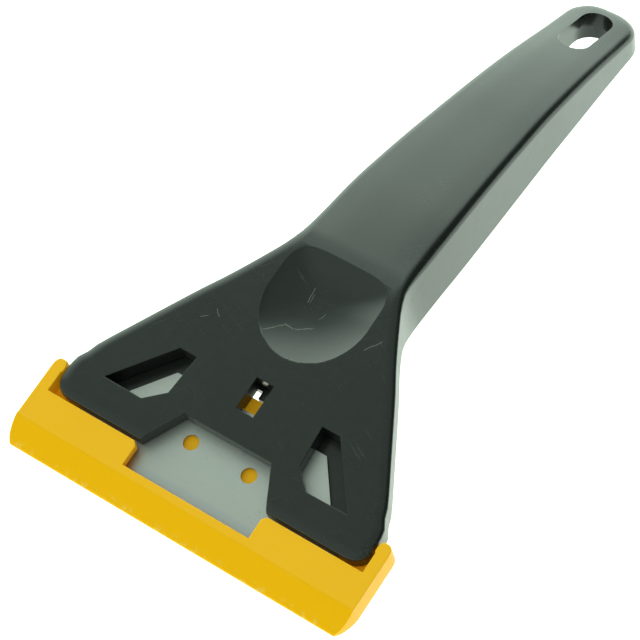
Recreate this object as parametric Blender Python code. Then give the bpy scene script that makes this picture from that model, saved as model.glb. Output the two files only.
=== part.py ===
"""Painter's blade scraper: two-shell plastic handle, trapezoid steel blade, push-on blade guard.

Metres, +Z up.  The tool lies on its back edge as on a table: the guard's lower front edge and the
handle's far end touch Z = 0, the head rises towards the neck and the handle falls away behind it.
+Y runs along the handle towards the hang slot, +X across the blade, X = 0 is the mirror plane.

Sizes below are millimetres in the head's own frame: z = 0 is the head's top face, y = 0 is the
line through the blade's two holes.  HEAD_TILT turns that frame into the lying pose.
"""
import math

import bmesh
import bpy
from mathutils import Matrix, Vector

MM = 0.001

# lying pose
HEAD_TILT = 15.712               # degrees, the head's face against the table
ORIGIN_Y = 60.5316               # mm, middle of the length, after the tilt
TABLE_Z = -8.5478                # mm, the table's height, after the tilt

# plate stack of the head, from the top face down
TOP_PLATE_UNDER = -2.6           # underside of the plate over the blade
BLADE_TOP = -2.9
BLADE_THICK = 0.6
SKIRT_FRONT = -3.4               # lower edge of the upper shell in front of the lower plate
LOWER_TOP = -3.8                 # top face of the lower plate and of the guard's bottom
PLATE = 1.6                      # thickness of the lower plate
SEAM = 0.3                       # gap between the upper shell and the lower plate
SKIRT = 1.4                      # wall of the upper shell around the lower plate

# outline of the head and handle: y, half width
OUTLINE = [
    (-4.60, 29.3), (-4.30, 30.5), (-3.60, 31.6), (-2.80, 32.2), (-1.90, 32.4), (-1.30, 32.2),
    (-0.95, 31.9), (-0.50, 31.9), (-0.10, 32.2), (0.70, 32.5), (1.60, 32.5), (2.60, 32.3),
    (3.70, 31.9), (5.10, 31.2), (8.00, 29.75), (13.00, 26.95), (18.00, 24.15), (24.20, 20.65),
    (28.50, 18.05), (31.00, 16.65), (33.30, 15.4), (35.50, 14.25), (38.30, 12.85), (41.20, 11.8),
    (44.00, 11.4), (50.00, 11.2), (58.00, 10.95), (66.00, 10.5), (74.00, 10.0), (82.00, 9.5),
    (90.00, 9.0), (98.00, 8.6), (106.00, 8.2), (112.00, 7.9), (117.00, 7.7), (121.00, 7.55),
    (123.50, 7.3), (125.20, 6.75), (126.60, 5.85), (127.70, 4.5), (128.40, 2.9), (128.70, 1.4),
]
# height of the top along the middle: y, z
TOP_LINE = [
    (-4.6, 0.0), (41.2, 0.0), (50.0, -2.0), (58.0, -4.2), (66.0, -7.0), (74.0, -10.1),
    (82.0, -13.5), (90.0, -17.0), (98.0, -20.9), (106.0, -25.2), (112.0, -28.7), (117.0, -31.7),
    (121.0, -34.0), (125.2, -36.4), (126.6, -37.3), (127.7, -38.2), (128.4, -39.1), (128.7, -40.0),
]
# height of the underside along the middle: y, z
UNDER_LINE = [
    (-4.6, -5.4), (31.0, -5.4), (33.3, -6.3), (35.5, -8.5), (38.3, -12.2), (41.2, -15.2),
    (44.0, -16.7), (50.0, -18.4), (62.0, -22.2), (117.0, -41.2), (125.2, -44.1), (126.6, -44.4),
    (128.7, -44.4),
]
SKIRT_STEP = (1.6, 2.05)         # y where the skirt drops to the full depth
LOWER_SPAN = (1.5, 106.6)        # y where the lower plate begins and ends
FOOT_CHAMFER = 0.4
EDGE_ROUND_HEAD = (0.9, 0.9)     # rounding of the upper edge, across and down, head
EDGE_ROUND_HANDLE = (1.5, 2.2)   # the same, handle
CROWN = 0.5                      # how much the handle's top is crowned

# openings in the head: (x, y) corners of the right-hand one
WINDOW = [(25.4, 1.9), (16.75, 12.95), (13.2, 12.95), (13.8, 5.0), (17.35, 1.8)]
NOTCH = [(9.2, 3.2), (13.3, -4.6), (14.2, -6.5)]
SLOT_HALF = 1.75
SLOT_Y = (8.5, 15.0)
CHANNEL_HALF = 3.3               # channel for the guard's tongue
CHANNEL_END = 14.3
CATCH_TAB = (0.9, 12.8)          # half width and front edge of the tab between the tongue's gaps
DIMPLE_Y = 31.8
DIMPLE_SEMI = (10.4, 11.6)       # half width and half length where it meets the top face
DIMPLE_DEPTH = 1.15

# hang slot
HANG_Y = 118.3
HANG_LENGTH = 15.9
HANG_WIDTH = 6.6
HANG_TILT = 27.0                 # degrees off the head's normal

# inside of the upper shell
POCKET_Y = (35.9, 104.7)
POCKET_WALL = 2.2
POCKET_ROOF = 3.6
RIB_HALF = 0.8

# blade
BLADE_BACK_Y = 9.65
BLADE_EDGE_Y = -9.5
BLADE_BEVEL_Y = -7.7
BLADE_BACK_HALF = 15.7
BLADE_EDGE_HALF = 30.5
BLADE_EDGE_THICK = 0.06
HOLE_X = 6.1
HOLE_R = 1.45
RECESS_GAP = 0.3

# guard
GUARD_HALF = 35.3
GUARD_TOP = -0.5
GUARD_UNDER = -5.7
GUARD_NOSE_Y = -16.3
GUARD_FACET_Y = -11.3
GUARD_FLANGE_Y = -5.1
GUARD_BACK_Y = 1.1
GUARD_WALL = 1.4
LUG_INNER = 33.0
LUG_HOOK = 32.75
CUTOUT_HALF = 13.2
CUTOUT_Y = -9.8
TONGUE_HALF = 2.9
TONGUE_END = 12.5
PAD = [(9.0, 2.9), (12.9, -4.8)]  # wide root of the tongue, under the notch


def clear_scene():
    for ob in list(bpy.data.objects):
        bpy.data.objects.remove(ob, do_unlink=True)


def interp(table, y):
    """Straight-line value of a (y, value) table."""
    if y <= table[0][0]:
        return table[0][1]
    for (y0, a), (y1, b) in zip(table, table[1:]):
        if y <= y1:
            return a + (b - a) * (y - y0) / (y1 - y0)
    return table[-1][1]


def lying():
    """Head frame in millimetres to the lying pose in metres."""
    turn = Matrix.Rotation(math.radians(HEAD_TILT), 4, "X")
    drop = Matrix.Translation((0.0, -ORIGIN_Y, -TABLE_Z))
    return Matrix.Scale(MM, 4) @ drop @ turn


def material(name, colour, roughness, metallic=0.0):
    mat = bpy.data.materials.new(name)
    mat.use_nodes = True
    shader = mat.node_tree.nodes["Principled BSDF"]
    shader.inputs["Base Color"].default_value = (*colour, 1.0)
    shader.inputs["Roughness"].default_value = roughness
    shader.inputs["Metallic"].default_value = metallic
    return mat


def mesh_object(name, verts, faces, mat=None):
    """One closed body from head-frame millimetres, faces turned outwards."""
    bm = bmesh.new()
    pose = lying()
    made = [bm.verts.new(pose @ Vector(v)) for v in verts]
    for face in faces:
        bm.faces.new([made[i] for i in face])
    bmesh.ops.recalc_face_normals(bm, faces=bm.faces)
    mesh = bpy.data.meshes.new(name)
    bm.to_mesh(mesh)
    bm.free()
    ob = bpy.data.objects.new(name, mesh)
    bpy.context.scene.collection.objects.link(ob)
    if mat is not None:
        mesh.materials.append(mat)
    return ob


def loft(name, rings, mat=None):
    """Skin equal rings of points and close both ends."""
    n = len(rings[0])
    verts = [p for ring in rings for p in ring]
    faces = []
    for k in range(len(rings) - 1):
        for i in range(n):
            j = (i + 1) % n
            faces.append((k * n + i, k * n + j, (k + 1) * n + j, (k + 1) * n + i))
    faces.append(tuple(range(n)))
    faces.append(tuple((len(rings) - 1) * n + i for i in range(n)))
    return mesh_object(name, verts, faces, mat)


def plan_prism(name, outline, z0, z1):
    """Straight prism over an (x, y) outline, standing on the head's normal."""
    return loft(name, [[(x, y, z) for x, y in outline] for z in (z0, z1)])


def side_prism(name, outline, half, mat=None):
    """Straight prism across the tool over a (y, z) outline."""
    return loft(name, [[(x, y, z) for y, z in outline] for x in (-half, half)], mat)


def mirrored(right):
    """Close a right-hand run of (x, y) points, back to front, into a full outline."""
    return [(x, y) for x, y in right] + [(-x, y) for x, y in reversed(right)]


def cut(target, tool, operation="DIFFERENCE"):
    tool.hide_render = True
    tool.display_type = "WIRE"
    mod = target.modifiers.new(tool.name, "BOOLEAN")
    mod.operation = operation
    mod.solver = "EXACT"
    mod.object = tool


def finish(ob):
    ob.data.polygons.foreach_set("use_smooth", [True] * len(ob.data.polygons))
    ob.data.set_sharp_from_angle(angle=math.radians(28.0))


def stations():
    """Every y at which any of the handle's tables changes."""
    ys = {y for table in (OUTLINE, TOP_LINE, UNDER_LINE) for y, _ in table}
    return sorted(ys | set(SKIRT_STEP))


def upper_ring(y):
    half = interp(OUTLINE, y)
    top = interp(TOP_LINE, y)
    bottom = interp(UNDER_LINE, y) if y > SKIRT_STEP[0] else SKIRT_FRONT
    blend = min(max((y - 36.0) / 10.0, 0.0), 1.0)
    across, down = (a + (b - a) * blend for a, b in zip(EDGE_ROUND_HEAD, EDGE_ROUND_HANDLE))
    across = min(across, 0.6 * half)
    down = min(down, 0.6 * (top - bottom))
    crown = min(CROWN * blend, 0.1 * half)
    if y < -4.5:
        top -= 0.35
    right = [(0.0, top), (0.5 * (half - across), top - 0.25 * crown), (half - across, top - crown)]
    for k in range(1, 6):
        a = math.radians(90.0 - 18.0 * k)
        right.append((half - across + across * math.cos(a), top - crown - down + down * math.sin(a)))
    foot = min(FOOT_CHAMFER, 0.3 * half)
    right += [(half, bottom + foot), (half - foot, bottom)]
    left = [(-x, z) for x, z in reversed(right) if x > 0.0]
    return [(x, y, z) for x, z in right + left]


def lower_ring(y):
    half = interp(OUTLINE, y) - SKIRT - SEAM
    under = interp(UNDER_LINE, y)
    right = [(0.0, under + PLATE), (half, under + PLATE), (half, under), (0.0, under)]
    left = [(-x, z) for x, z in reversed(right) if x > 0.0]
    return [(x, y, z) for x, z in right + left]


def plate_room():
    """Room in the upper shell for the lower plate, open below and at the front."""
    rings = []
    ys = [LOWER_SPAN[0] - 0.6]
    ys += [y + 0.13 for y in stations() if LOWER_SPAN[0] < y < LOWER_SPAN[1] - 0.5]
    for y in ys + [LOWER_SPAN[1] + SEAM]:
        half = interp(OUTLINE, y) - SKIRT
        under = interp(UNDER_LINE, y)
        rings.append([(x, y, z) for x, z in ((-half, under - 2.0), (half, under - 2.0),
                                             (half, under + PLATE + SEAM), (-half, under + PLATE + SEAM))])
    return loft("cut_plate_room", rings)


def hang_slot():
    """Stadium prism through the handle's far end."""
    straight = 0.5 * (HANG_LENGTH - HANG_WIDTH)
    r = 0.5 * HANG_WIDTH
    outline = []
    for k in range(13):
        a = math.radians(15.0 * k)
        outline.append((r * math.cos(a), straight + r * math.sin(a)))
    for k in range(13):
        a = math.radians(180.0 + 15.0 * k)
        outline.append((r * math.cos(a), -straight + r * math.sin(a)))
    turn = Matrix.Rotation(math.radians(-HANG_TILT), 4, "X")
    centre = Vector((0.0, HANG_Y, interp(TOP_LINE, HANG_Y) - 4.5))
    rings = []
    for depth in (-14.0, 14.0):
        rings.append([tuple(centre + turn @ Vector((x, y, depth))) for x, y in outline])
    return loft("cut_hang_slot", rings)


def blade_outline(gap=0.0):
    """Right-hand (x, y) corners of the blade, grown by a gap, run on past the edge if grown."""
    slope = (BLADE_EDGE_HALF - BLADE_BACK_HALF) / (BLADE_BACK_Y - BLADE_EDGE_Y)
    grow = gap * math.hypot(1.0, slope)
    end = BLADE_EDGE_Y - (3.0 if gap else 0.0)
    back = BLADE_BACK_Y + gap
    right = [(BLADE_BACK_HALF + grow - gap * slope, back)]
    right.append((BLADE_EDGE_HALF + grow + (BLADE_EDGE_Y - end) * slope, end))
    return right


def build_upper(mat):
    ob = loft("handle_upper_shell", [upper_ring(y) for y in stations()], mat)
    cut(ob, plate_room())
    recess = plan_prism("cut_blade_recess", mirrored(blade_outline(RECESS_GAP)), -8.0, TOP_PLATE_UNDER)
    cut(ob, recess)
    for side in (-1, 1):
        cut(ob, plan_prism("cut_window_%s" % "lr"[side > 0], [(side * x, y) for x, y in WINDOW], -8.0, 3.0))
    cut(ob, plan_prism("cut_notch", mirrored(NOTCH), -8.0, 3.0))
    slot = [(SLOT_HALF, SLOT_Y[1]), (SLOT_HALF, SLOT_Y[0])]
    cut(ob, plan_prism("cut_slot", mirrored(slot), -8.0, 3.0))
    cut(ob, dimple_tool())
    for side in (-1, 1):
        rings = []
        steps = 12
        for k in range(steps + 1):
            y = POCKET_Y[0] + (POCKET_Y[1] - POCKET_Y[0]) * k / steps
            half = interp(OUTLINE, y) - POCKET_WALL
            roof = interp(TOP_LINE, y) - (POCKET_ROOF if y < 42.0 else 2.6)
            floor = interp(UNDER_LINE, y) - 2.0
            rings.append([(side * x, y, z) for x, z in
                          ((RIB_HALF, floor), (half, floor), (half, roof - 0.8), (half - 1.2, roof),
                           (RIB_HALF, roof))])
        cut(ob, loft("cut_pocket_%s" % "lr"[side > 0], rings))
    cut(ob, hang_slot())
    finish(ob)
    return ob


def dimple_tool():
    """Flattened ball whose cap makes the thumb dimple."""
    a, b = DIMPLE_SEMI
    lift = 4.0 * DIMPLE_DEPTH
    deep = lift + DIMPLE_DEPTH
    grow = 1.0 / math.sqrt(1.0 - (lift / deep) ** 2)
    rings_n, around = 16, 40
    verts = [(0.0, DIMPLE_Y, lift - deep)]
    for k in range(1, rings_n):
        t = math.pi * k / rings_n
        for i in range(around):
            p = 2.0 * math.pi * i / around
            verts.append((a * grow * math.sin(t) * math.cos(p),
                          DIMPLE_Y + b * grow * math.sin(t) * math.sin(p),
                          lift - deep * math.cos(t)))
    verts.append((0.0, DIMPLE_Y, lift + deep))
    faces = []
    last = len(verts) - 1
    for i in range(around):
        j = (i + 1) % around
        faces.append((0, 1 + j, 1 + i))
        faces.append((last, last - around + i, last - around + j))
        for k in range(rings_n - 2):
            p = 1 + k * around
            faces.append((p + i, p + j, p + around + j, p + around + i))
    return mesh_object("cut_dimple", verts, faces)


def build_lower(mat):
    front, back = LOWER_SPAN
    ys = [front] + [y for y in stations() if front < y < back - 0.5] + [back]
    ob = loft("handle_lower_shell", [lower_ring(y) for y in ys], mat)
    tab_half, tab_front = CATCH_TAB
    channel = mirrored([(CHANNEL_HALF, tab_front), (CHANNEL_HALF, 3.5), (9.6, 3.5), (9.6, 0.0)])
    cut(ob, plan_prism("cut_tongue_channel", channel, -8.0, -2.0))
    for side in (-1, 1):
        gap = [(side * x, y) for x, y in ((tab_half, tab_front - 0.5), (tab_half, CHANNEL_END),
                                          (CHANNEL_HALF, CHANNEL_END), (CHANNEL_HALF, tab_front - 0.5))]
        cut(ob, plan_prism("cut_catch_gap_%s" % "lr"[side > 0], gap, -8.1, -1.9))
    finish(ob)
    return ob


def build_blade(mat):
    """Trapezoid blade: flat back part, ground wedge down to the edge."""
    top, under = BLADE_TOP, BLADE_TOP - BLADE_THICK
    middle = 0.5 * (top + under)
    slope = (BLADE_EDGE_HALF - BLADE_BACK_HALF) / (BLADE_BACK_Y - BLADE_EDGE_Y)
    rings = []
    for y, thick in ((BLADE_BACK_Y, BLADE_THICK), (BLADE_BEVEL_Y, BLADE_THICK),
                     (BLADE_EDGE_Y, BLADE_EDGE_THICK)):
        x = BLADE_BACK_HALF + (BLADE_BACK_Y - y) * slope
        a, b = middle + 0.5 * thick, middle - 0.5 * thick
        rings.append([(-x, y, a), (x, y, a), (x, y, b), (-x, y, b)])
    ob = loft("blade", rings, mat)
    for side in (-1, 1):
        ring = [(side * HOLE_X + HOLE_R * math.cos(math.radians(10.0 * k)),
                 HOLE_R * math.sin(math.radians(10.0 * k))) for k in range(36)]
        cut(ob, plan_prism("cut_hole_%s" % "lr"[side > 0], ring, under - 2.0, top + 2.0))
    finish(ob)
    return ob


def build_guard(mat):
    mid = 0.5 * (GUARD_TOP + GUARD_UNDER)
    profile = [(TONGUE_END, GUARD_UNDER), (GUARD_FACET_Y, GUARD_UNDER), (GUARD_NOSE_Y + 0.35, mid - 0.35),
               (GUARD_NOSE_Y, mid), (GUARD_NOSE_Y + 0.35, mid + 0.35), (GUARD_FACET_Y, GUARD_TOP),
               (TONGUE_END, GUARD_TOP)]
    ob = side_prism("blade_guard", profile, GUARD_HALF + 2.0, mat)
    # plan of the guard: nose corners, lugs with rounded hooked tips, back edge, pad and tongue
    plan = [(TONGUE_HALF - 0.8, TONGUE_END), (TONGUE_HALF, TONGUE_END - 0.8), (TONGUE_HALF, PAD[0][1]),
            PAD[0], (PAD[0][0] + 0.7, GUARD_BACK_Y), (LUG_INNER - 1.0, GUARD_BACK_Y),
            (LUG_HOOK, GUARD_BACK_Y - 0.3), (LUG_HOOK + 0.5, 0.7), (34.0, 0.75), (34.7, 0.45),
            (35.1, -0.1), (GUARD_HALF, -0.9), (GUARD_HALF, -12.3), (35.0, -14.3), (34.4, -15.8),
            (33.8, GUARD_NOSE_Y - 0.5)]
    cut(ob, plan_prism("shape_guard_plan", mirrored(plan), -9.0, 3.0), "INTERSECT")
    # room for the head and the blade between the lugs
    hook = [(LUG_HOOK, 20.0), (LUG_HOOK, -0.9), (LUG_INNER, -1.3), (LUG_INNER, GUARD_FLANGE_Y)]
    cut(ob, plan_prism("cut_head_room", mirrored(hook), LOWER_TOP, 4.0))
    inner = [(GUARD_FLANGE_Y + 1.0, GUARD_TOP - GUARD_WALL), (GUARD_FACET_Y + 0.4, GUARD_TOP - GUARD_WALL),
             (-13.4, mid + 0.3), (-13.4, mid - 0.3), (-12.6, LOWER_TOP - 0.01),
             (GUARD_FLANGE_Y + 1.0, LOWER_TOP - 0.01)]
    cut(ob, side_prism("cut_blade_room", inner, LUG_INNER - 0.02))
    cutout = [(CUTOUT_HALF + 1.8, GUARD_FLANGE_Y + 1.0), (CUTOUT_HALF, GUARD_FLANGE_Y - 0.8),
              (CUTOUT_HALF, CUTOUT_Y)]
    cut(ob, plan_prism("cut_cutout", mirrored(cutout), GUARD_TOP - GUARD_WALL - 0.4, 5.0))
    finish(ob)
    return ob


def main():
    clear_scene()
    black = material("black_plastic", (0.028, 0.031, 0.029), 0.28)
    black_under = material("black_plastic_under", (0.026, 0.028, 0.027), 0.38)
    steel = material("blade_steel", (0.60, 0.62, 0.60), 0.30, 1.0)
    yellow = material("yellow_plastic", (0.83, 0.50, 0.012), 0.38)
    build_upper(black)
    build_lower(black_under)
    build_blade(steel)
    build_guard(yellow)


main()
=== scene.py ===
import bmesh
import bpy
import math
from mathutils import Matrix, Vector


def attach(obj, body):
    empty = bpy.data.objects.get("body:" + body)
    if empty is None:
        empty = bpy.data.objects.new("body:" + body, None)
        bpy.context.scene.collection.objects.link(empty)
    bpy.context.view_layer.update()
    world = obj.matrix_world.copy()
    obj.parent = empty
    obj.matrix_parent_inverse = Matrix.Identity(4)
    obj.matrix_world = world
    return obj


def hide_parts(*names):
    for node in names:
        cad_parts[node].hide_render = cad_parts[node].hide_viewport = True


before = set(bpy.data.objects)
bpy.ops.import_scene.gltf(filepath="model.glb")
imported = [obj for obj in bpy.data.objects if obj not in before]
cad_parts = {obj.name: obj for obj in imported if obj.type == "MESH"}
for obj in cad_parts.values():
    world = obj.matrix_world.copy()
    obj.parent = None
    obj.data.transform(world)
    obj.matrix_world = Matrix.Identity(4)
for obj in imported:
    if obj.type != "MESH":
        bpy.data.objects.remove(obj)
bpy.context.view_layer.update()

# The head's own frame, in millimetres: z = 0 is its top face, y = 0 the line through the blade's
# holes, +Y towards the hang slot.  Every piece is modelled there and then laid on the table.
HEAD_TILT = math.radians(15.712)
LIE = Vector((0.0, -60.5316, 8.5478))
LAY_DOWN = Matrix.Scale(0.001, 4) @ Matrix.Translation(LIE) @ Matrix.Rotation(HEAD_TILT, 4, "X")

# handle: (y, half width), (y, height of the top), (y, height of the underside)
SIDE_LINE = [
    (5.10, 31.2), (8.00, 29.75), (13.00, 26.95), (18.00, 24.15), (24.20, 20.65), (28.50, 18.05),
    (31.00, 16.65), (33.30, 15.4), (35.50, 14.25), (38.30, 12.85), (41.20, 11.8), (44.00, 11.4),
    (50.00, 11.2), (58.00, 10.95), (66.00, 10.5), (74.00, 10.0), (82.00, 9.5), (90.00, 9.0),
    (98.00, 8.6), (106.00, 8.2), (112.00, 7.9), (117.00, 7.7), (121.00, 7.55),
]
TOP_LINE = [
    (41.2, 0.0), (50.0, -2.0), (58.0, -4.2), (66.0, -7.0), (74.0, -10.1), (82.0, -13.5),
    (90.0, -17.0), (98.0, -20.9), (106.0, -25.2), (112.0, -28.7), (117.0, -31.7), (121.0, -34.0),
    (125.2, -36.4), (126.6, -37.3), (127.7, -38.2), (128.4, -39.1), (128.7, -40.0),
]
UNDER_LINE = [
    (31.0, -5.4), (33.3, -6.3), (35.5, -8.5), (38.3, -12.2), (41.2, -15.2), (44.0, -16.7),
    (50.0, -18.4), (62.0, -22.2), (117.0, -41.2), (125.2, -44.1), (126.6, -44.4), (128.7, -44.4),
]
CORNER = [(29.0, -4.6), (30.5, -4.3), (31.6, -3.6), (32.25, -2.6), (32.5, -1.4), (32.55, 0.0),
          (32.5, 1.4), (32.2, 2.9)]
END = [(7.5, 122.6), (7.3, 124.0), (6.85, 125.3), (6.0, 126.6), (4.8, 127.6), (3.3, 128.3),
       (1.7, 128.65)]
CREASE = 41.2                    # y where the head ends and the handle begins
STEP = 1.8                       # spacing of the handle's cross lines
ROUND = 2.0                      # rounding of the handle's upper edge
CROWN = 0.55
PLATE_THICK = 1.6
SKIRT = 1.4
SEAM = 0.25


def along(table, y):
    """Smooth curve through a (y, value) table."""
    if y <= table[0][0]:
        return table[0][1]
    if y >= table[-1][0]:
        return table[-1][1]
    i = next(k for k in range(len(table) - 1) if y <= table[k + 1][0])
    (y1, a), (y2, b) = table[i], table[i + 1]
    h = y2 - y1
    m1 = (b - table[i - 1][1]) / (y2 - table[i - 1][0]) if i else (b - a) / h
    m2 = (table[i + 2][1] - a) / (table[i + 2][0] - y1) if i + 2 < len(table) else (b - a) / h
    t = (y - y1) / h
    return ((2 * t ** 3 - 3 * t * t + 1) * a + (t ** 3 - 2 * t * t + t) * h * m1
            + (3 * t * t - 2 * t ** 3) * b + (t ** 3 - t * t) * h * m2)


def ease(a, b, x):
    t = min(max((x - a) / (b - a), 0.0), 1.0)
    return t * t * (3.0 - 2.0 * t)


# ---------------------------------------------------------------- modelling by hand

def only(ob):
    bpy.ops.object.select_all(action="DESELECT")
    ob.select_set(True)
    bpy.context.view_layer.objects.active = ob


def pick(ob, kind, test):
    """Go into edit mode with just the verts, edges or faces selected that pass the test."""
    if ob.mode != "EDIT":
        only(ob)
        bpy.ops.object.mode_set(mode="EDIT")
    bpy.ops.mesh.select_mode(type=kind)
    bpy.ops.mesh.select_all(action="DESELECT")
    bm = bmesh.from_edit_mesh(ob.data)
    for part in {"VERT": bm.verts, "EDGE": bm.edges, "FACE": bm.faces}[kind]:
        if test(part):
            part.select_set(True)
    bm.select_flush_mode()
    bmesh.update_edit_mesh(ob.data)


def done(ob):
    if ob.mode == "EDIT":
        bpy.ops.object.mode_set(mode="OBJECT")
    return ob


def middle(part):
    """Middle of an edge or a face."""
    return sum((v.co for v in part.verts), Vector()) / len(part.verts)


def drawn(name, points, z=0.0):
    """A closed outline drawn point by point and filled with one face; stays in edit mode."""
    bpy.ops.object.select_all(action="DESELECT")
    bpy.ops.mesh.primitive_plane_add(size=1.0)
    ob = bpy.context.object
    ob.name = name
    bpy.ops.object.mode_set(mode="EDIT")
    bpy.ops.mesh.select_mode(type="VERT")
    bpy.ops.mesh.select_all(action="SELECT")
    bpy.ops.mesh.merge(type="CENTER")
    bpy.ops.transform.translate(value=(points[0][0], points[0][1], z))
    for (ax, ay), (bx, by) in zip(points, points[1:]):
        bpy.ops.mesh.extrude_region_move(TRANSFORM_OT_translate={"value": (bx - ax, by - ay, 0.0)})
    bpy.ops.mesh.select_all(action="SELECT")
    bpy.ops.mesh.edge_face_add()
    return ob


def both(right):
    """A right-hand run of (x, y) points closed by its mirror image."""
    return list(right) + [(-x, y) for x, y in reversed(right) if x > 0.0]


def outwards(ob):
    bpy.ops.mesh.select_all(action="SELECT")
    bpy.ops.mesh.normals_make_consistent(inside=False)
    return done(ob)


def block(name, points, z0, z1):
    """Straight solid over an outline."""
    ob = drawn(name, points, z0)
    bpy.ops.mesh.extrude_region_move(TRANSFORM_OT_translate={"value": (0.0, 0.0, z1 - z0)})
    return outwards(ob)


def profile(name, points, half):
    """Straight solid across the tool over a (y, z) side profile."""
    ob = block(name, points, -half, half)
    only(ob)
    for axis in ("X", "Z"):
        ob.rotation_euler = (math.pi / 2, 0.0, 0.0) if axis == "X" else (0.0, 0.0, math.pi / 2)
        bpy.ops.object.transform_apply(location=False, rotation=True, scale=False)
    return ob


def boolean(ob, tool, operation="DIFFERENCE"):
    only(ob)
    mod = ob.modifiers.new("cut", "BOOLEAN")
    mod.operation = operation
    mod.solver = "EXACT"
    mod.object = tool
    bpy.ops.object.modifier_apply(modifier=mod.name)
    bpy.data.objects.remove(tool)


def tidy_flats(ob, degrees=0.05):
    """Join the pieces of each flat face again after cutting."""
    pick(ob, "FACE", lambda f: True)
    bpy.ops.mesh.remove_doubles(threshold=0.01)
    bpy.ops.mesh.dissolve_limited(angle_limit=math.radians(degrees))
    return done(ob)


def round_edges(ob, test, radius, segments=3):
    pick(ob, "EDGE", lambda e: len(e.link_faces) == 2 and test(e))
    bpy.ops.mesh.bevel(offset=radius, segments=segments, affect="EDGES", clamp_overlap=False)
    return done(ob)


def sharp(edge, degrees=35.0):
    return edge.calc_face_angle(0.0) > math.radians(degrees)


def split_flats(ob):
    """Divide the large flat faces of a flat-sided piece; a curved piece would show the split."""
    pick(ob, "FACE", lambda f: len(f.verts) > 4)
    bpy.ops.mesh.quads_convert_to_tris(quad_method="BEAUTY", ngon_method="BEAUTY")
    bpy.ops.mesh.select_all(action="SELECT")
    bpy.ops.mesh.dissolve_degenerate(threshold=0.0005)
    return done(ob)


def lay_down(ob, body, slot, *nodes):
    """Put a finished piece in its place on the table, on its body."""
    only(ob)
    ob.data.transform(LAY_DOWN)
    bpy.ops.object.shade_smooth_by_angle(angle=math.radians(32.0), keep_sharp_edges=True)
    mod = ob.modifiers.new("normals", "WEIGHTED_NORMAL")
    mod.keep_sharp = True
    mod.weight = 80
    bpy.ops.object.modifier_apply(modifier=mod.name)
    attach(ob, body)
    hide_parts(*nodes)
    return ob


# ---------------------------------------------------------------- the handle

def cross_lines(first, last):
    count = int(round((last - first) / STEP))
    return [first + (last - first) * k / count for k in range(count + 1)]


def side_points(inset=0.0, first=None, last=None):
    """Right-hand outline of the handle, the whole of it or from one y to another."""
    if first is None:
        ys = cross_lines(4.6, CREASE)[:-1] + cross_lines(CREASE, 121.0)
        return CORNER + [(along(SIDE_LINE, y), y) for y in ys] + END
    table = sorted([(y, x) for x, y in CORNER[4:]] + SIDE_LINE)
    return [(along(table, y) - inset, y) for y in cross_lines(first, last)]


def rungs(ob, from_y):
    """Tie the left and right edges of the flat top and bottom faces together, line by line."""
    pick(ob, "VERT", lambda v: False)
    bm = bmesh.from_edit_mesh(ob.data)
    for face in [f for f in bm.faces if len(f.verts) > 12 and abs(f.normal.z) > 0.9]:
        right = sorted((v for v in face.verts if v.co.x > 0.01), key=lambda v: v.co.y)
        left = sorted((v for v in face.verts if v.co.x < -0.01), key=lambda v: v.co.y)
        for a, b in zip(right, left):
            if a.co.y > from_y - 0.01:
                bmesh.ops.connect_vert_pair(bm, verts=[a, b])
    bmesh.update_edit_mesh(ob.data)
    return ob


def bend(ob, low, high):
    """Lift every point from the flat to the handle's own curve.  Points at or above z = -5 follow
    the top line, those below it the underside."""
    for v in ob.data.vertices:
        x, y, z = v.co
        if z > -5.0:
            w = min(abs(x) / max(along(SIDE_LINE, y) - ROUND, 1.0), 1.0)
            grow = ease(CREASE - 5.0, CREASE + 10.0, y)
            v.co.z = high(y) + z * (0.45 + 0.55 * grow) - CROWN * grow * w ** 3.5
        else:
            v.co.z = low(y) + (z + 10.0)


def under(y):
    return along(UNDER_LINE, y)


def shell_blank():
    """Body of the upper shell: outline, rounded upper edge, wall, underside, then the curve."""
    ob = drawn("upper_shell", both(side_points()), -ROUND)
    if bmesh.from_edit_mesh(ob.data).faces[0].normal.z < 0.0:
        bpy.ops.mesh.flip_normals()
    segments = 7
    turn = [math.radians(90.0 * k / segments) for k in range(segments + 1)]
    for a, b in zip(turn, turn[1:]):
        bpy.ops.mesh.inset(thickness=ROUND * (math.cos(a) - math.cos(b)),
                           depth=ROUND * (math.sin(b) - math.sin(a)))
    rungs(ob, CREASE)
    pick(ob, "EDGE", lambda e: abs(e.verts[0].co.y - e.verts[1].co.y) < 0.001
         and e.verts[0].co.x * e.verts[1].co.x < 0.0 and min(v.co.z for v in e.verts) > -0.01
         and e.verts[0].co.y > CREASE - 0.1)
    bpy.ops.mesh.subdivide(number_cuts=7)
    pick(ob, "EDGE", lambda e: len(e.link_faces) == 1)
    bpy.ops.mesh.extrude_region_move(TRANSFORM_OT_translate={
        "value": (0.0, 0.0, CHAMFER + ROUND - 10.0)})
    bpy.ops.mesh.edge_face_add()
    bpy.ops.mesh.normals_make_consistent(inside=False)
    pick(ob, "FACE", lambda f: f.normal.z < -0.9)
    bpy.ops.mesh.inset(thickness=CHAMFER, depth=CHAMFER)
    rungs(ob, 4.0)
    outwards(ob)
    bend(ob, under, lambda y: along(TOP_LINE, y))
    return ob


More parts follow.
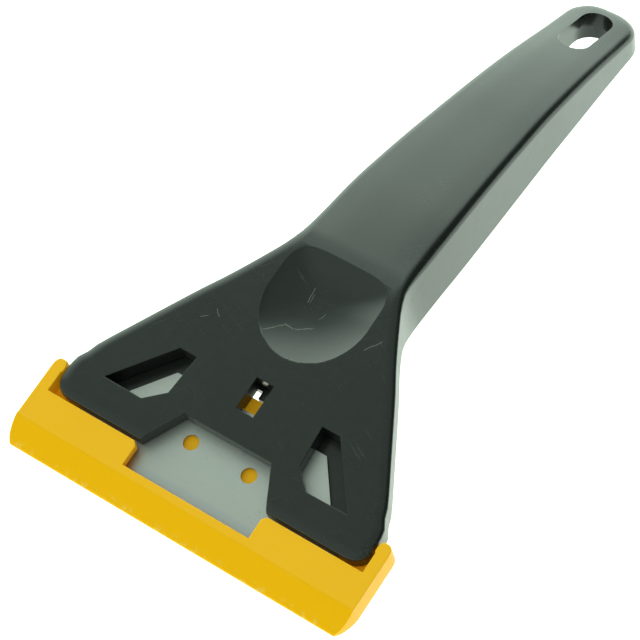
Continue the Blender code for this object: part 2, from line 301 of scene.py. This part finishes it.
WINDOW = [(25.4, 1.9), (16.75, 12.95), (13.2, 12.95), (13.8, 5.0), (17.35, 1.8)]
NOTCH = [(9.2, 3.2), (13.3, -4.6), (14.2, -6.5)]
SLOT = [(1.75, 15.0), (1.75, 8.5)]
PLATE_UNDER = -2.6               # underside of the plate over the blade
HANG_Y, HANG_LEAN = 118.3, math.radians(27.0)
DIMPLE_Y, DIMPLE_HALF, DIMPLE_NEAR, DIMPLE_FAR, DIMPLE_DEEP = 31.8, 10.2, 11.4, 9.9, 2.1
BLADE_BACK, BLADE_EDGE, BLADE_GRIND = 9.65, -9.5, -7.7
BLADE_TOP, BLADE_UNDER = -2.9, -3.5
BLADE_BACK_HALF, BLADE_EDGE_HALF = 15.7, 30.5
BLADE_HOLE_X, BLADE_HOLE_RADIUS = 6.1, 1.45
FLARE = (BLADE_EDGE_HALF - BLADE_BACK_HALF) / (BLADE_BACK - BLADE_EDGE)
NICK_X, NICK_Y, NICK_RADIUS = 33.35, -0.75, 1.1     # dents in the head's front corners
PIN_MARKS = [(-12.0, 9.0), (12.0, 9.0), (0.0, 24.0), (0.0, 54.0), (0.0, 98.0)]
GUARD_TOP, GUARD_UNDER, GUARD_MIDDLE = -0.5, -5.7, -3.1
GUARD_FACET, GUARD_TONGUE_END = -11.3, 12.5
CHAMFER = 0.4                    # along the bottom edge of the handle's wall


def dimple_reach(x, y):
    """0 at the dimple's deepest point, 1 on its rim; round in front, squarer at the crease."""
    dy = y - DIMPLE_Y
    n = 2.0 + 2.5 * ease(0.0, 5.0, dy)
    b = DIMPLE_FAR if dy > 0.0 else DIMPLE_NEAR
    return (abs(x / DIMPLE_HALF) ** n + abs(dy / b) ** n) ** (1.0 / n)


def dimple_tool():
    bpy.ops.object.select_all(action="DESELECT")
    bpy.ops.mesh.primitive_grid_add(x_subdivisions=60, y_subdivisions=60, size=1.0,
                                    location=(0.0, DIMPLE_Y - 0.6, 0.0))
    ob = bpy.context.object
    bpy.ops.object.mode_set(mode="EDIT")
    bpy.ops.transform.resize(value=(24.0, 26.0, 1.0), center_override=(0.0, DIMPLE_Y - 0.6, 0.0))
    bpy.ops.object.mode_set(mode="OBJECT")
    bpy.ops.object.transform_apply(location=True, rotation=False, scale=False)
    for v in ob.data.vertices:
        r = dimple_reach(v.co.x, v.co.y)
        v.co.z = DIMPLE_DEEP * (min(r, 1.4) ** 2.6 - 1.0)
    pick(ob, "FACE", lambda f: True)
    bpy.ops.mesh.extrude_region_move(TRANSFORM_OT_translate={"value": (0.0, 0.0, 4.0)})
    return outwards(ob)


def stadium(length, width, steps=10):
    straight, r = 0.5 * (length - width), 0.5 * width
    turn = [math.pi * k / steps for k in range(steps + 1)]
    far = [(r * math.cos(a), straight + r * math.sin(a)) for a in turn]
    return far + [(-x, -y) for x, y in far]


def hang_tool(length, width, low, high, towards_end=0.0):
    """Cutter for the hang slot, square to the handle's top; low and high are from that top."""
    ob = block("hang", stadium(length, width), low, high)
    centre = Vector((0.0, HANG_Y + towards_end, along(TOP_LINE, HANG_Y)))
    ob.data.transform(Matrix.Translation(centre) @ Matrix.Rotation(-HANG_LEAN, 4, "X"))
    return ob


def blade_shape(gap, y_front):
    grow = gap * math.hypot(1.0, FLARE)
    back = BLADE_BACK + gap
    half = BLADE_BACK_HALF + grow - gap * FLARE
    return both([(half, back), (half + (back - y_front) * FLARE, y_front)])


def plate_blank(name, inset, first, last, rise):
    """Plate that follows the underside: rise above it, and flush with it or lower."""
    ob = drawn(name, both(side_points(inset, first, last)), -10.0)
    bpy.ops.mesh.extrude_region_move(TRANSFORM_OT_translate={"value": (0.0, 0.0, 10.0)})
    bpy.ops.mesh.normals_make_consistent(inside=False)
    rungs(ob, first - 1.0)
    outwards(ob)
    for v in ob.data.vertices:
        v.co.z = under(v.co.y) + (rise[1] if v.co.z > -5.0 else rise[0])
    return ob


def drill(ob, place, radius, depth, sides):
    """Take a round plug of this depth out of the piece, centred on place."""
    bpy.ops.object.select_all(action="DESELECT")
    bpy.ops.mesh.primitive_cylinder_add(vertices=sides, radius=radius, depth=depth, location=place)
    plug = bpy.context.object
    bpy.ops.object.transform_apply(location=True)
    boolean(ob, plug)


def make_upper_shell():
    ob = shell_blank()
    boolean(ob, block("front", both([(40.0, 1.8), (40.0, -8.0)]), -9.0, -3.4))
    boolean(ob, plate_blank("room", SKIRT, 0.9, 106.9, (-3.0, PLATE_THICK + SEAM)))
    boolean(ob, block("recess", blade_shape(0.3, -12.5), -8.0, PLATE_UNDER))
    for side in (-1, 1):
        boolean(ob, block("window", [(side * x, y) for x, y in WINDOW], -8.0, 3.0))
    boolean(ob, block("notch", both(NOTCH), -8.0, 3.0))
    boolean(ob, block("slot", both(SLOT), -8.0, 3.0))
    for side in (-1, 1):
        drill(ob, (side * NICK_X, NICK_Y, 0.0), NICK_RADIUS, 20.0, 32)
    tidy_flats(ob)
    round_edges(ob, lambda e: sharp(e, 60.0) and all(abs(v.co.z) < 0.01 for v in e.verts)
                and middle(e).y < 16.0 and abs(middle(e).x) < 27.0, 0.16, 2)
    boolean(ob, dimple_tool())
    boolean(ob, hang_tool(15.9, 6.6, -4.3, 8.0))
    boolean(ob, hang_tool(17.3, 8.8, -18.0, -4.2, 1.6))
    pick(ob, "EDGE", lambda e: sharp(e, 7.0) and 19.0 < middle(e).y < 43.0
         and all(abs(v.co.x) < 10.6 and v.co.z > -0.03 for v in e.verts))
    bpy.ops.mesh.mark_sharp()
    done(ob)
    return ob


def make_lower_plate():
    ob = plate_blank("lower_plate", SKIRT + SEAM, 1.5, 106.6, (0.0, PLATE_THICK))
    channel = both([(3.3, 14.3), (3.3, 3.5), (10.0, 3.5), (10.0, 0.0)])
    boolean(ob, block("channel", channel, -8.0, -2.0))
    boolean(ob, block("tab", both([(0.9, 14.6), (0.9, 12.8)]), -5.4, -3.8), "UNION")
    tidy_flats(ob)
    round_edges(ob, lambda e: sharp(e, 60.0) and max(v.co.z for v in e.verts) < -4.9
                and not (abs(middle(e).x) < 10.0 and middle(e).y < 15.0), 0.2, 2)
    for x, y in PIN_MARKS:
        drill(ob, (x, y, under(y)), 1.6, 0.16, 40)
    return ob


def make_blade():
    side = [(BLADE_BACK, BLADE_TOP), (BLADE_GRIND, BLADE_TOP), (BLADE_EDGE, -3.17),
            (BLADE_EDGE, -3.23), (BLADE_GRIND, BLADE_UNDER), (BLADE_BACK, BLADE_UNDER)]
    ob = profile("scraper_blade", side, 31.0)
    for turn in (-1, 1):
        pick(ob, "FACE", lambda f: True)
        bpy.ops.mesh.bisect(plane_co=(turn * BLADE_BACK_HALF, BLADE_BACK, 0.0),
                            plane_no=(turn, FLARE, 0.0), use_fill=True, clear_outer=True)
        done(ob)
    for side in (-1, 1):
        drill(ob, (side * BLADE_HOLE_X, 0.0, -3.2), BLADE_HOLE_RADIUS, 6.0, 64)
    tidy_flats(ob)
    round_edges(ob, lambda e: sharp(e, 60.0) and middle(e).y > BLADE_GRIND + 0.2
                and abs(middle(e).y) > 1.6, 0.06, 2)
    return ob


def make_guard():
    mid = GUARD_MIDDLE
    side = [(GUARD_TONGUE_END, GUARD_UNDER), (GUARD_FACET, GUARD_UNDER), (-16.0, mid - 0.4),
            (-16.3, mid), (-16.0, mid + 0.4), (GUARD_FACET, GUARD_TOP),
            (GUARD_TONGUE_END, GUARD_TOP)]
    ob = profile("guard_cover", side, 37.0)
    round_edges(ob, lambda e: e.calc_length() > 60.0 and abs(middle(e).y - GUARD_FACET) < 0.1,
                0.3, 4)
    round_edges(ob, lambda e: e.calc_length() > 60.0 and middle(e).y < -15.8, 0.18, 2)
    plan = [(2.1, GUARD_TONGUE_END), (2.9, 11.7), (2.9, 2.9), (9.0, 2.9), (9.7, 1.1),
            (34.35, 1.1), (34.75, 0.9), (35.05, 0.5), (35.25, -0.1), (35.3, -0.9), (35.3, -12.3), (35.2, -13.3),
            (35.0, -14.3), (34.7, -15.2), (34.2, -16.0), (33.6, -16.9)]
    boolean(ob, block("plan", both(plan), -9.0, 3.0), "INTERSECT")
    room = [(33.45, 20.0), (33.45, 1.3), (33.1, 0.85), (32.85, 0.3), (32.75, -0.3), (32.75, -0.9),
            (33.0, -1.3), (33.0, -5.1)]
    boolean(ob, block("room", both(room), -3.8, 4.0))
    inner = [(-4.1, -1.9), (-10.9, -1.9), (-13.4, mid + 0.3), (-13.4, mid - 0.3), (-12.6, -3.8),
             (-4.1, -3.8)]
    boolean(ob, profile("blade_room", inner, 33.0))
    cutout = [(15.0, -4.1), (13.2, -5.9), (13.2, -9.8)]
    boolean(ob, block("cutout", both(cutout), -2.35, 5.0))
    tidy_flats(ob)
    round_edges(ob, lambda e: sharp(e, 40.0) and e.is_convex and e.calc_length() > 0.12
                and all(v.co.z > -0.52 for v in e.verts), 0.18, 3)
    return ob



upper = make_upper_shell()
lower = make_lower_plate()
blade = make_blade()
guard = make_guard()

for piece in (lower, blade, guard):
    split_flats(piece)
lay_down(upper, "handle", "black_plastic", "handle_upper_shell")
lay_down(lower, "handle", "black_plastic_under", "handle_lower_shell")
lay_down(blade, "blade", "blade_steel", "blade")
lay_down(guard, "guard", "yellow_plastic", "blade_guard")


# ---------------------------------------------------------------- materials

class Wire:
    """An output socket that can be used in ordinary arithmetic."""

    def __init__(self, tree, socket):
        self.tree, self.socket = tree, socket

    def maths(self, operation, *values):
        return self.tree.node("ShaderNodeMath", {"operation": operation}, values)

    def __add__(self, other):
        return self.maths("ADD", self, other)

    def __radd__(self, other):
        return self.maths("ADD", other, self)

    def __sub__(self, other):
        return self.maths("SUBTRACT", self, other)

    def __rsub__(self, other):
        return self.maths("SUBTRACT", other, self)

    def __mul__(self, other):
        return self.maths("MULTIPLY", self, other)

    def __rmul__(self, other):
        return self.maths("MULTIPLY", other, self)

    def __truediv__(self, other):
        return self.maths("DIVIDE", self, other)

    def __pow__(self, other):
        return self.maths("POWER", self, other)

    def __abs__(self):
        return self.maths("ABSOLUTE", self)

    def most(self, other):
        return self.maths("MAXIMUM", self, other)


class Tree:
    """Node tree of a material or of the world."""

    def __init__(self, owner):
        owner.use_nodes = True
        self.nodes, self.links = owner.node_tree.nodes, owner.node_tree.links

    def node(self, kind, settings, values, output=0):
        made = self.nodes.new(kind)
        for name, value in settings.items():
            setattr(made, name, value)
        pairs = values.items() if isinstance(values, dict) else enumerate(values)
        for name, value in pairs:
            self.feed(made.inputs[name], value)
        return Wire(self, made.outputs[output])

    def feed(self, socket, value):
        if isinstance(value, Wire):
            self.links.new(value.socket, socket)
        else:
            socket.default_value = value

    def step(self, value, low, high):
        """0 below low, 1 above high, smooth in between."""
        return self.node("ShaderNodeMapRange", {"interpolation_type": "SMOOTHSTEP"},
                         {"Value": value, "From Min": low, "From Max": high})

    def noise(self, point, scale, detail=2.0, rough=0.5):
        return self.node("ShaderNodeTexNoise", {}, {"Vector": point, "Scale": scale,
                                                   "Detail": detail, "Roughness": rough})

    def stretch(self, point, by):
        return self.node("ShaderNodeVectorMath", {"operation": "MULTIPLY"}, (point, by))

    def mix(self, amount, a, b):
        return self.node("ShaderNodeMix", {"data_type": "RGBA"}, {0: amount, 6: a, 7: b}, 2)

    def axis(self, point, which):
        return self.node("ShaderNodeSeparateXYZ", {}, (point,), which)


class Paint(Tree):
    """A material whose textures are laid out in the head's own millimetres."""

    def __init__(self, name, **fixed):
        self.material = bpy.data.materials.new(name)
        super().__init__(self.material)
        self.shader = self.nodes["Principled BSDF"]
        for key, value in fixed.items():
            self.feed(self.shader.inputs[key.replace("_", " ")], value)
        turn = Matrix.Rotation(-HEAD_TILT, 4, "X")
        here = self.node("ShaderNodeTexCoord", {}, (), "Object")
        self.at = self.node("ShaderNodeMapping", {}, {
            "Vector": here, "Location": -(turn @ LIE), "Rotation": (-HEAD_TILT, 0.0, 0.0),
            "Scale": (1000.0, 1000.0, 1000.0)})
        self.x, self.y, self.z = (self.axis(self.at, k) for k in range(3))

    def set(self, **values):
        for key, value in values.items():
            self.feed(self.shader.inputs[key.replace("_", " ")], value)

    def bump(self, height, depth, under=None):
        """Surface relief, depth in millimetres for a height of 1."""
        values = {"Strength": 1.0, "Distance": depth * 0.001, "Height": height}
        if under is not None:
            values["Normal"] = under
        return self.node("ShaderNodeBump", {}, values)

    def scratch(self, a, b, width, wobble=0.25):
        """1 on a thin line from a to b on the top, 0 away from it."""
        (ax, ay), (bx, by) = a, b
        length = math.hypot(bx - ax, by - ay)
        ux, uy = (bx - ax) / length, (by - ay) / length
        off = (self.x - ax) * -uy + (self.y - ay) * ux
        run = (self.x - ax) * ux + (self.y - ay) * uy
        off = off + (self.noise(self.at, 0.9, 3.0) - 0.5) * wobble * 2.0
        inside = self.step(run, 0.0, 0.15 * length) * (1.0 - self.step(run, 0.85 * length, length))
        return (1.0 - self.step(abs(off), 0.35 * width, width)) * inside

    def hairlines(self, angle, spacing, amount):
        """Many faint fine scratches in one direction; 0 to 1."""
        turned = self.node("ShaderNodeMapping", {}, {"Vector": self.at,
                                                     "Rotation": (0.0, 0.0, math.radians(angle))})
        fine = self.noise(self.stretch(turned, (0.12, 1.0 / spacing, 0.3)), 1.0, 2.0, 0.4)
        patch = self.noise(self.at, 0.11, 2.0)
        return self.step(fine, 0.66, 0.72) * self.step(patch, 0.5, 0.68) * amount

    def specks(self, scale, rarity):
        return self.step(self.noise(self.at, scale, 1.0), rarity, rarity + 0.04)


# scratches on the head's top: from, to, width
SCRATCHES = [((-2.8, 31.6), (-3.2, 35.1), 0.10), ((-2.4, 31.8), (-2.6, 33.9), 0.07),
             ((0.7, 29.9), (1.3, 31.6), 0.07), ((11.4, 28.1), (13.7, 31.5), 0.09),
             ((-6.4, 22.8), (-3.7, 26.4), 0.13), ((-4.0, 26.3), (-2.0, 26.2), 0.15),
             ((-2.2, 26.1), (1.1, 28.3), 0.14), ((-15.5, 22.5), (-14.0, 21.2), 0.08),
             ((-17.2, 19.6), (-15.9, 20.7), 0.08)]


def black_plastic(name, grain=1.0, wear_and_highlight_amount=1.0):
    p = Paint(name, IOR=1.5)
    broad, mottle = p.noise(p.at, 0.07, 3.0, 0.55), p.noise(p.at, 0.55, 3.0, 0.6)
    peel, fine = p.noise(p.at, 0.5, 2.0), p.noise(p.at, 5.0, 2.0)
    lines = p.hairlines(28.0, 0.22, 0.8).most(p.hairlines(-52.0, 0.18, 0.6))
    dust = p.specks(2.6, 0.74) * 0.6 + p.specks(6.0, 0.76) * 0.25
    q = (p.x / DIMPLE_HALF) ** 2.0 + ((p.y - DIMPLE_Y) / DIMPLE_NEAR) ** 2.0
    # Painted highlight: a thin pale line along the lower rim of the dimple, where its small rounded edge
    # catches the light; noise breaks it into pieces.
    rim_highlight_ring = 1.0 - p.step(abs(q ** 0.5 - 1.0 + (mottle - 0.5) * 0.03), 0.006, 0.022)
    rim_highlight = rim_highlight_ring * p.step(p.y, 26.0, 22.5) * p.step(p.noise(p.at, 0.3, 2.0), 0.38, 0.6) * 0.45
    scratches_and_rim_highlight = rim_highlight
    for a, b, w in SCRATCHES:
        scratches_and_rim_highlight = scratches_and_rim_highlight.most(p.scratch(a, b, w) * 0.8)
    top = p.step(p.z, -3.0, -2.4)
    wear_and_rim_highlight = (scratches_and_rim_highlight * top).most(lines * 0.35) * wear_and_highlight_amount
    colour = p.mix(mottle * 0.8, (0.0085, 0.0105, 0.0095, 1.0), (0.0125, 0.0145, 0.0135, 1.0))
    colour = p.mix(dust * 0.16, colour, (0.30, 0.31, 0.29, 1.0))
    # Scratches and hairlines are painted as pale wear; the dimple's rim line in the same mask is a painted
    # highlight.
    colour = p.mix(wear_and_rim_highlight * 0.30, colour, (0.42, 0.43, 0.39, 1.0))
    rough = 0.22 + (broad - 0.5) * 0.10 + (mottle - 0.5) * 0.08 + wear_and_rim_highlight * 0.25 + dust * 0.2
    relief = p.bump(peel, 0.010 * grain)
    relief = p.bump(fine, 0.0016 * grain, relief)
    relief = p.bump(1.0 - wear_and_rim_highlight, 0.006, relief)
    p.set(Base_Color=colour, Roughness=rough, Normal=relief)
    return p.material


def blade_steel():
    p = Paint("blade_steel", Metallic=1.0)
    broad, mottle = p.noise(p.at, 0.09, 3.0, 0.6), p.noise(p.at, 0.7, 4.0, 0.65)
    rolled = p.noise(p.stretch(p.at, (0.25, 7.0, 1.0)), 1.0, 3.0, 0.6)
    ground = 1.0 - p.step(p.y, BLADE_GRIND - 0.15, BLADE_GRIND + 0.05)
    strokes = p.noise(p.stretch(p.at, (6.0, 0.35, 1.0)), 1.0, 3.0, 0.6)
    corner = p.step((p.x + 24.0) ** 2.0 + (p.y + 4.0) ** 2.0, 90.0, 8.0)
    stain = (p.step(mottle, 0.55, 0.75) * (0.25 + corner * 0.75)).most(p.specks(1.7, 0.73))
    colour = p.mix(broad, (0.405, 0.405, 0.40, 1.0), (0.435, 0.435, 0.43, 1.0))
    colour = p.mix(ground * 0.4, colour, (0.37, 0.41, 0.46, 1.0))
    colour = p.mix(stain * 0.25, colour, (0.21, 0.15, 0.09, 1.0))
    rough = 0.47 + (rolled - 0.5) * 0.16 + (mottle - 0.5) * 0.10 + stain * 0.18 - ground * 0.06
    relief = p.bump(rolled * (1.0 - ground) + strokes * ground, 0.0022)
    relief = p.bump(mottle, 0.0016, relief)
    p.set(Base_Color=colour, Roughness=rough, Normal=relief)
    return p.material


def yellow_plastic():
    # The faint orange emission is painted light: a glow that lifts the guard's shaded holes, slot and lug
    # insides, standing in for light coming through the plastic.
    p = Paint("yellow_plastic", IOR=1.5, Specular_IOR_Level=0.06,
              Emission_Color=(0.95, 0.42, 0.0, 1.0), Emission_Strength=0.14)
    broad, mottle = p.noise(p.at, 0.06, 3.0, 0.55), p.noise(p.at, 0.8, 3.0, 0.6)
    fine = p.noise(p.at, 4.0, 2.0)
    lines = p.hairlines(8.0, 0.25, 0.8).most(p.hairlines(74.0, 0.2, 0.5))
    grime = p.specks(2.2, 0.75) * 0.6
    edge = p.step(p.y, -14.6, -16.1) * p.step(mottle, 0.5, 0.7)
    colour = p.mix(broad, (0.85, 0.425, 0.001, 1.0), (0.88, 0.45, 0.002, 1.0))
    colour = p.mix(mottle * 0.25, colour, (0.82, 0.395, 0.001, 1.0))
    # Painted sheen: the top facet, behind the facet line, is made a little paler than the front facet.
    top_facet_sheen = p.step(p.y, -11.6, -11.0) * (0.75 + mottle * 0.5)
    colour = p.mix(top_facet_sheen * 0.035, colour, (0.90, 0.80, 0.55, 1.0))
    colour = p.mix((lines * 0.30).most(edge * 0.35), colour, (0.90, 0.68, 0.22, 1.0))
    colour = p.mix(grime * 0.30, colour, (0.16, 0.10, 0.04, 1.0))
    rough = 0.33 + (broad - 0.5) * 0.12 + (mottle - 0.5) * 0.10 + lines * 0.12 + edge * 0.1
    relief = p.bump(mottle, 0.006)
    relief = p.bump(fine, 0.0015, relief)
    relief = p.bump(1.0 - lines, 0.003, relief)
    p.set(Base_Color=colour, Roughness=rough, Normal=relief)
    return p.material


for piece, material in ((upper, black_plastic("black_plastic")),
                        (lower, black_plastic("black_plastic_under", 1.6, 0.6)),
                        (blade, blade_steel()), (guard, yellow_plastic())):
    piece.data.materials.clear()
    piece.data.materials.append(material)


# ---------------------------------------------------------------- studio

# The blade and the guard slide along the sloping head, so at the end of both joints they are
# 15 mm lower than they lie; the floor is far enough down to leave them in sight.
FLOOR = -0.016


def make_floor():
    bpy.ops.object.select_all(action="DESELECT")
    bpy.ops.mesh.primitive_plane_add(size=4.0, location=(0.0, 0.0, FLOOR))
    floor = bpy.context.object
    floor.name = "floor"
    material = bpy.data.materials.new("pale_floor")
    tree = Tree(material)
    shader = tree.nodes["Principled BSDF"]
    shader.inputs["Base Color"].default_value = (0.86, 0.87, 0.86, 1.0)
    shader.inputs["Roughness"].default_value = 0.9
    shader.inputs["Specular IOR Level"].default_value = 0.0
    shader.inputs["Emission Color"].default_value = (0.88, 1.0, 0.88, 1.0)
    shader.inputs["Emission Strength"].default_value = 1.05
    floor.data.materials.append(material)


def make_light():
    """A white room: bright behind on the left, open overhead, dark behind on the right."""
    world = bpy.data.worlds.new("studio")
    bpy.context.scene.world = world
    tree = Tree(world)
    seen = tree.node("ShaderNodeTexCoord", {}, (), "Generated")

    def lobe(direction, low, high):
        centre = Vector(direction).normalized()
        facing = tree.node("ShaderNodeVectorMath", {"operation": "DOT_PRODUCT"}, (seen, centre),
                           "Value")
        return tree.step(facing, low, high)

    strength = 0.56 + lobe((-0.55, 0.76, 0.35), 0.50, 0.95) * 2.6
    strength = strength + lobe((-0.36, -0.75, 0.55), 0.55, 0.95) * 0.35
    strength = strength * (1.0 - lobe((0.82, 0.52, 0.26), 0.62, 0.88) * 0.88)
    background = tree.nodes["Background"]
    background.inputs["Color"].default_value = (0.82, 1.0, 0.865, 1.0)
    tree.feed(background.inputs["Strength"], strength)


def make_camera():
    data = bpy.data.cameras.new("camera")
    data.lens, data.sensor_width = 126.76, 36.0
    cam = bpy.data.objects.new("camera", data)
    bpy.context.scene.collection.objects.link(cam)
    ahead, up = Vector((-0.36044, 0.51337, -0.7788)), Vector((-0.43991, 0.64269, 0.62724))
    right = ahead.cross(up).normalized()
    up = right.cross(ahead)
    cam.matrix_world = (Matrix.Translation((0.1419, -0.2318, 0.3193))
                        @ Matrix((right, up, -ahead)).transposed().to_4x4())
    bpy.context.scene.camera = cam


make_floor()
make_light()
make_camera()
bpy.context.scene.view_settings.view_transform = "Standard"
